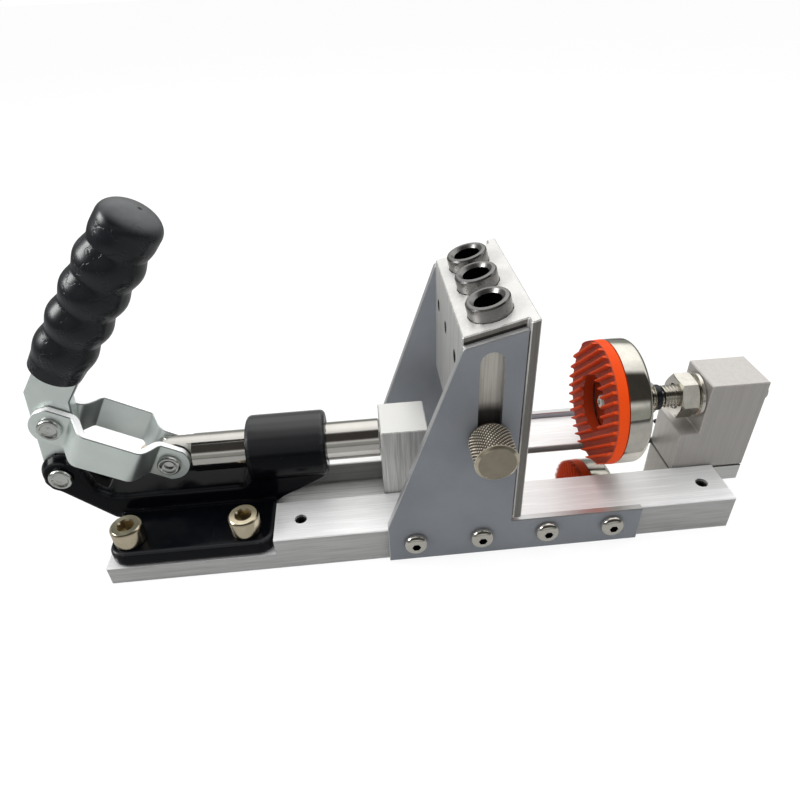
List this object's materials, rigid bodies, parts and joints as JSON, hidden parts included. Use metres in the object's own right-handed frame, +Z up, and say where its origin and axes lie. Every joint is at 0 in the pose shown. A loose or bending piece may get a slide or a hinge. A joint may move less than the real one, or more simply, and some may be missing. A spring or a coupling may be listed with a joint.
{
  "type": "pocket hole jig",
  "caption": "Benchtop pocket hole jig: toggle clamp pulls a sliding finned pad towards a guide block with slanted drill bushings between two side plates.",
  "frame": {"origin": "centre of the floor plate's underside, on the bench, midway between the rails", "axes": "+X along the rails from the toggle clamp to the stop block, +Y across to the rail away from the thumb screw, +Z up"},
  "size_m": [0.3102, 0.0907, 0.1485],
  "materials": {
    "brushed_aluminium": "fine brushed along the piece",
    "blue_grey_plate": "matt blue-grey anodised sheet with bare bright edges",
    "zinc": "bright zinc plate",
    "bright_nickel": "warm bright nickel plate",
    "black_paint": "glossy black paint over a slightly rough casting",
    "dark_steel": "black oxide",
    "bushing_steel": "ground steel with bright chamfers",
    "black_vinyl": "smooth dipped vinyl",
    "orange_rubber": "matt moulded rubber"
  },
  "bodies": {
    "frame": {"near_rail": "brushed_aluminium", "far_rail": "brushed_aluminium", "floor_plate": "brushed_aluminium", "rail_screw_1": "dark_steel", "rail_screw_2": "dark_steel", "rail_screw_3": "dark_steel", "rail_screw_4": "dark_steel", "near_side_plate": "blue_grey_plate", "far_side_plate": "blue_grey_plate", "near_plate_screw_1": "bright_nickel", "near_plate_screw_2": "bright_nickel", "near_plate_screw_3": "bright_nickel", "near_plate_screw_4": "bright_nickel", "far_plate_screw_1": "bright_nickel", "far_plate_screw_2": "bright_nickel", "far_plate_screw_3": "bright_nickel", "far_plate_screw_4": "bright_nickel", "clamp_body": "black_paint", "clamp_bolt_1": "bright_nickel", "clamp_bolt_2": "bright_nickel", "clamp_bolt_3": "bright_nickel", "clamp_bolt_4": "bright_nickel", "ear_rivet": "zinc"},
    "carriage": {"plunger": "zinc", "plunger_rivet": "zinc", "push_block": "brushed_aluminium", "push_block_screw": "dark_steel", "slider_bar": "brushed_aluminium", "stop_block": "brushed_aluminium", "stop_block_screw_1": "dark_steel", "stop_block_screw_2": "dark_steel", "washer": "bright_nickel"},
    "links": {"near_link": "zinc", "far_link": "zinc", "crank_rivet": "zinc"},
    "handle": {"handle_bar": "zinc", "handle_grip": "black_vinyl"},
    "guide": {"guide_block": "brushed_aluminium", "drill_bushing_1": "bushing_steel", "drill_bushing_2": "bushing_steel", "drill_bushing_3": "bushing_steel", "bushing_grub_1": "dark_steel", "bushing_grub_2": "dark_steel", "bushing_grub_3": "dark_steel"},
    "thumb": {"thumb_screw": "bright_nickel"},
    "pad": {"pad_cup": "bright_nickel", "grip_pad": "orange_rubber", "pad_screw": "bright_nickel"},
    "stud": {"stud": "bright_nickel", "neck_ring": "black_vinyl"},
    "nut": {"lock_nut": "bright_nickel"}
  },
  "joints": [
    {"name": "carriage_slide", "type": "slide", "parent": "frame", "child": "carriage", "axis": [1, 0, 0], "range_m": [-0.0222, 0.0056]},
    {"name": "link_swing", "type": "hinge", "parent": "carriage", "child": "links", "pos_m": [-0.1046, 0, 0.0401], "axis": [0, 1, 0], "range_deg": [-16.8, 4.4]},
    {"name": "handle_swing", "type": "hinge", "parent": "links", "child": "handle", "pos_m": [-0.14519, 0, 0.06327], "axis": [0, 1, 0], "range_deg": [-57.8, 14.9]},
    {"name": "guide_slide", "type": "slide", "parent": "frame", "child": "guide", "axis": [0, 0, 1], "range_m": [0, 0.032]},
    {"name": "thumb_screw_turn", "type": "hinge", "parent": "guide", "child": "thumb", "pos_m": [0.023, -0.0366, 0.0645], "axis": [0, 1, 0], "continuous": true},
    {"name": "pad_slide", "type": "slide", "parent": "carriage", "child": "pad", "axis": [-1, 0, 0], "range_m": [-0.0045, 0.012]},
    {"name": "stud_turn", "type": "hinge", "parent": "pad", "child": "stud", "pos_m": [0.11, 0, 0.0491], "axis": [1, 0, 0], "continuous": true},
    {"name": "nut_turn", "type": "hinge", "parent": "carriage", "child": "nut", "pos_m": [0.1124, 0, 0.0491], "axis": [1, 0, 0], "continuous": true}
  ],
  "couplings": [
    {"joint": "link_swing", "follows": "carriage_slide", "rad_per_m": 13},
    {"joint": "handle_swing", "follows": "carriage_slide", "rad_per_m": 45},
    {"joint": "stud_turn", "follows": "pad_slide", "rad_per_m": 4188.8}
  ]
}
